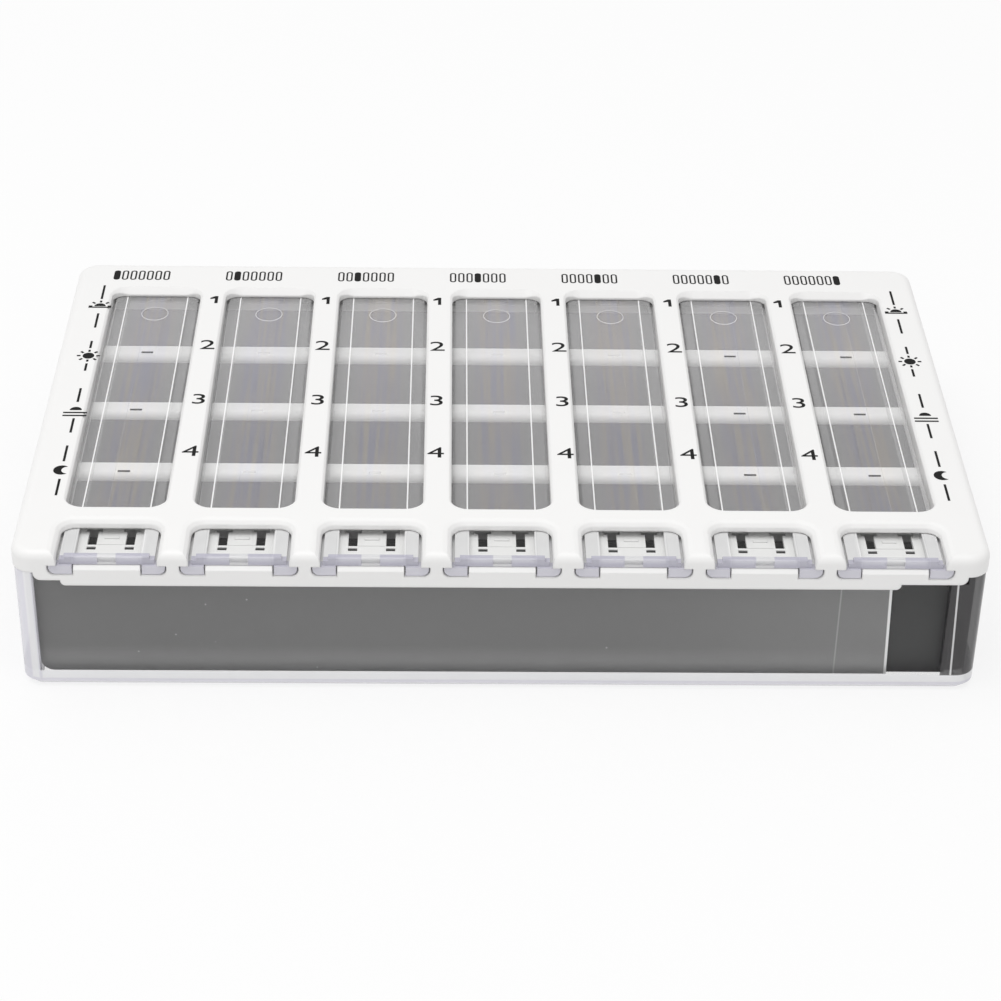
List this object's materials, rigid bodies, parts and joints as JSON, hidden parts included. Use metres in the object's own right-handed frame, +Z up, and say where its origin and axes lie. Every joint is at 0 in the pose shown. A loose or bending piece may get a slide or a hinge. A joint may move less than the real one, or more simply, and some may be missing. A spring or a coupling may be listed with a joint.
{
  "type": "weekly pill box",
  "caption": "Flat box of pill cells: clear shell, grey trays, white windowed frame, and clear lids that slide to the front and uncover one cell after another.",
  "frame": {"origin": "middle of the underside, on the surface that the box stands on", "axes": "+X along the row of days, +Y from the lids' finger lips to the back, +Z up"},
  "size_m": [0.213, 0.1322, 0.036],
  "materials": {
    "white_frame": "satin moulded white",
    "white_guide": "satin moulded white",
    "clear_lid": "clear, slightly hazy",
    "clear_shell": "clear, polished",
    "grey_tray": "dark grey, satin",
    "grey_strip": "mid grey, matt"
  },
  "bodies": {
    "case": {"base_shell": "clear_shell", "front_strip": "grey_strip", "top_frame": "white_frame", "day_tray_1": "grey_tray", "day_tray_2": "grey_tray", "day_tray_3": "grey_tray", "day_tray_4": "grey_tray", "day_tray_5": "grey_tray", "day_tray_6": "grey_tray", "day_tray_7": "grey_tray", "lid_guide_1": "white_guide", "lid_guide_2": "white_guide", "lid_guide_3": "white_guide", "lid_guide_4": "white_guide", "lid_guide_5": "white_guide", "lid_guide_6": "white_guide", "lid_guide_7": "white_guide"},
    "lid_1": {"lid_1": "clear_lid"},
    "click_1": {"click_tongue_1": "white_guide"},
    "lid_2": {"lid_2": "clear_lid"},
    "click_2": {"click_tongue_2": "white_guide"},
    "lid_3": {"lid_3": "clear_lid"},
    "click_3": {"click_tongue_3": "white_guide"},
    "lid_4": {"lid_4": "clear_lid"},
    "click_4": {"click_tongue_4": "white_guide"},
    "lid_5": {"lid_5": "clear_lid"},
    "click_5": {"click_tongue_5": "white_guide"},
    "lid_6": {"lid_6": "clear_lid"},
    "click_6": {"click_tongue_6": "white_guide"},
    "lid_7": {"lid_7": "clear_lid"},
    "click_7": {"click_tongue_7": "white_guide"}
  },
  "joints": [
    {"name": "lid_1_slide", "type": "slide", "parent": "case", "child": "lid_1", "axis": [0, -1, 0], "range_m": [0, 0.1014]},
    {"name": "click_1_flex", "type": "hinge", "parent": "case", "child": "click_1", "pos_m": [-0.0855, -0.0573, 0.03195], "axis": [-1, 0, 0], "range_deg": [0, 3], "stiffness_Nm_per_rad": 0.02},
    {"name": "lid_2_slide", "type": "slide", "parent": "case", "child": "lid_2", "axis": [0, -1, 0], "range_m": [0, 0.1014]},
    {"name": "click_2_flex", "type": "hinge", "parent": "case", "child": "click_2", "pos_m": [-0.057, -0.0573, 0.03195], "axis": [-1, 0, 0], "range_deg": [0, 3], "stiffness_Nm_per_rad": 0.02},
    {"name": "lid_3_slide", "type": "slide", "parent": "case", "child": "lid_3", "axis": [0, -1, 0], "range_m": [0, 0.1014]},
    {"name": "click_3_flex", "type": "hinge", "parent": "case", "child": "click_3", "pos_m": [-0.0285, -0.0573, 0.03195], "axis": [-1, 0, 0], "range_deg": [0, 3], "stiffness_Nm_per_rad": 0.02},
    {"name": "lid_4_slide", "type": "slide", "parent": "case", "child": "lid_4", "axis": [0, -1, 0], "range_m": [0, 0.1014]},
    {"name": "click_4_flex", "type": "hinge", "parent": "case", "child": "click_4", "pos_m": [0, -0.0573, 0.03195], "axis": [-1, 0, 0], "range_deg": [0, 3], "stiffness_Nm_per_rad": 0.02},
    {"name": "lid_5_slide", "type": "slide", "parent": "case", "child": "lid_5", "axis": [0, -1, 0], "range_m": [0, 0.1014]},
    {"name": "click_5_flex", "type": "hinge", "parent": "case", "child": "click_5", "pos_m": [0.0285, -0.0573, 0.03195], "axis": [-1, 0, 0], "range_deg": [0, 3], "stiffness_Nm_per_rad": 0.02},
    {"name": "lid_6_slide", "type": "slide", "parent": "case", "child": "lid_6", "axis": [0, -1, 0], "range_m": [0, 0.1014]},
    {"name": "click_6_flex", "type": "hinge", "parent": "case", "child": "click_6", "pos_m": [0.057, -0.0573, 0.03195], "axis": [-1, 0, 0], "range_deg": [0, 3], "stiffness_Nm_per_rad": 0.02},
    {"name": "lid_7_slide", "type": "slide", "parent": "case", "child": "lid_7", "axis": [0, -1, 0], "range_m": [0, 0.1014]},
    {"name": "click_7_flex", "type": "hinge", "parent": "case", "child": "click_7", "pos_m": [0.0855, -0.0573, 0.03195], "axis": [-1, 0, 0], "range_deg": [0, 3], "stiffness_Nm_per_rad": 0.02}
  ]
}
